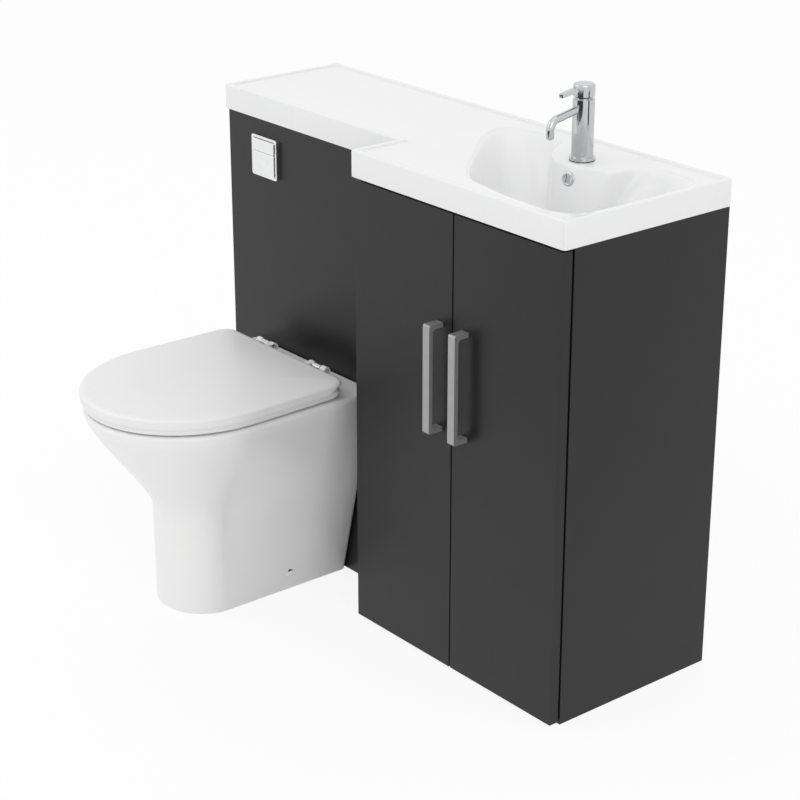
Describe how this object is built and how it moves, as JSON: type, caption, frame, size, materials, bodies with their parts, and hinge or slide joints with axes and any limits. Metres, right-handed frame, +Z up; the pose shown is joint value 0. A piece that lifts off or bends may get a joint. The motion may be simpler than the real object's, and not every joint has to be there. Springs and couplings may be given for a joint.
{
  "type": "toilet and basin combination unit",
  "caption": "Back-to-wall pan on a slim cistern cabinet beside a two-door vanity, under one L-shaped top with a moulded basin and a lever mixer tap.",
  "frame": {"origin": "on the wall plane and the floor, at the joint between the cistern cabinet and the vanity", "axes": "+X to the right along the wall, +Y into the wall, +Z up"},
  "size_m": [1.01, 0.722, 0.9775],
  "materials": {
    "carcass_laminate": "dark grey gloss laminate",
    "inner_board": "white melamine board",
    "basin_resin": "gloss white gel-coated cast resin",
    "china": "gloss white vitreous china",
    "seat_plastic": "gloss white moulded seat",
    "chrome": "polished chrome plate",
    "steel": "zinc-plated steel",
    "handle_metal": "satin chrome bar",
    "white_plastic": "moulded white plastic",
    "rubber": "black moulded rubber"
  },
  "bodies": {
    "cabinets": {"vanity_side_left": "carcass_laminate", "vanity_side_right": "carcass_laminate", "vanity_base": "inner_board", "vanity_toe_rail": "carcass_laminate", "vanity_rails": "inner_board", "vanity_back_panel": "inner_board", "vanity_shelf": "inner_board", "shelf_pins": "steel", "hinge_arms": "steel", "wc_side_left": "carcass_laminate", "wc_side_right": "carcass_laminate", "wc_front_panel": "carcass_laminate", "wc_rails": "inner_board", "panel_clips": "white_plastic", "cistern_rail": "inner_board", "cistern_tank": "white_plastic", "cistern_lid": "white_plastic", "flush_valve": "white_plastic", "fill_valve": "white_plastic", "flush_pipe": "white_plastic", "flush_cone": "rubber", "flush_plate": "chrome", "button_housing": "white_plastic", "button_bellows": "rubber", "button_nut": "white_plastic", "basin_top": "basin_resin", "waste_flange": "chrome", "waste_nut": "white_plastic", "bottle_trap": "white_plastic", "trap_nuts": "white_plastic", "trap_pipe": "white_plastic", "tap_body": "chrome", "tap_spout": "chrome", "tap_aerator": "steel", "tap_seal": "rubber", "tap_fixing": "steel", "toilet_pan": "china", "pan_connector": "white_plastic", "pan_brackets": "white_plastic", "pan_caps": "chrome", "seat_hinges": "chrome"},
    "door_left": {"door_left": "carcass_laminate", "handle_left": "handle_metal", "handle_screws_left": "steel", "hinge_cups_left": "steel", "door_buffers_left": "white_plastic"},
    "door_right": {"door_right": "carcass_laminate", "handle_right": "handle_metal", "handle_screws_right": "steel", "hinge_cups_right": "steel", "door_buffers_right": "white_plastic"},
    "full_flush_button": {"button_full": "chrome"},
    "half_flush_button": {"button_half": "chrome"},
    "plug": {"waste_plug": "chrome"},
    "tap_core": {"tap_stem": "steel"},
    "tap_cap": {"tap_lever": "chrome"},
    "seat": {"seat_ring": "seat_plastic", "seat_buffers": "white_plastic"},
    "lid": {"seat_lid": "seat_plastic", "lid_buffers": "white_plastic"}
  },
  "joints": [
    {"name": "door_left_swing", "type": "hinge", "parent": "cabinets", "child": "door_left", "pos_m": [0.0088, -0.3455, 0.416], "axis": [0, 0, -1], "range_deg": [0, 95]},
    {"name": "door_right_swing", "type": "hinge", "parent": "cabinets", "child": "door_right", "pos_m": [0.4912, -0.3455, 0.416], "axis": [0, 0, 1], "range_deg": [0, 95]},
    {"name": "full_flush_press", "type": "slide", "parent": "cabinets", "child": "full_flush_button", "axis": [0, 1, 0], "range_m": [0, 0.0045], "stiffness_N_per_m": 300},
    {"name": "half_flush_press", "type": "slide", "parent": "cabinets", "child": "half_flush_button", "axis": [0, 1, 0], "range_m": [0, 0.0045], "stiffness_N_per_m": 300},
    {"name": "plug_lift", "type": "slide", "parent": "cabinets", "child": "plug", "axis": [0, 0, 1], "range_m": [0, 0.008]},
    {"name": "tap_turn", "type": "hinge", "parent": "cabinets", "child": "tap_core", "pos_m": [0.271, -0.102, 0.9535], "axis": [0, 0, 1], "range_deg": [-50, 50]},
    {"name": "tap_lift", "type": "hinge", "parent": "tap_core", "child": "tap_cap", "pos_m": [0.271, -0.0945, 0.9595], "axis": [-1, 0, 0], "range_deg": [0, 16]},
    {"name": "seat_lift", "type": "hinge", "parent": "cabinets", "child": "seat", "pos_m": [-0.25, -0.305, 0.4095], "axis": [1, 0, 0], "range_deg": [-92, 0]},
    {"name": "lid_lift", "type": "hinge", "parent": "seat", "child": "lid", "pos_m": [-0.25, -0.305, 0.4095], "axis": [-1, 0, 0], "range_deg": [0, 92]}
  ]
}
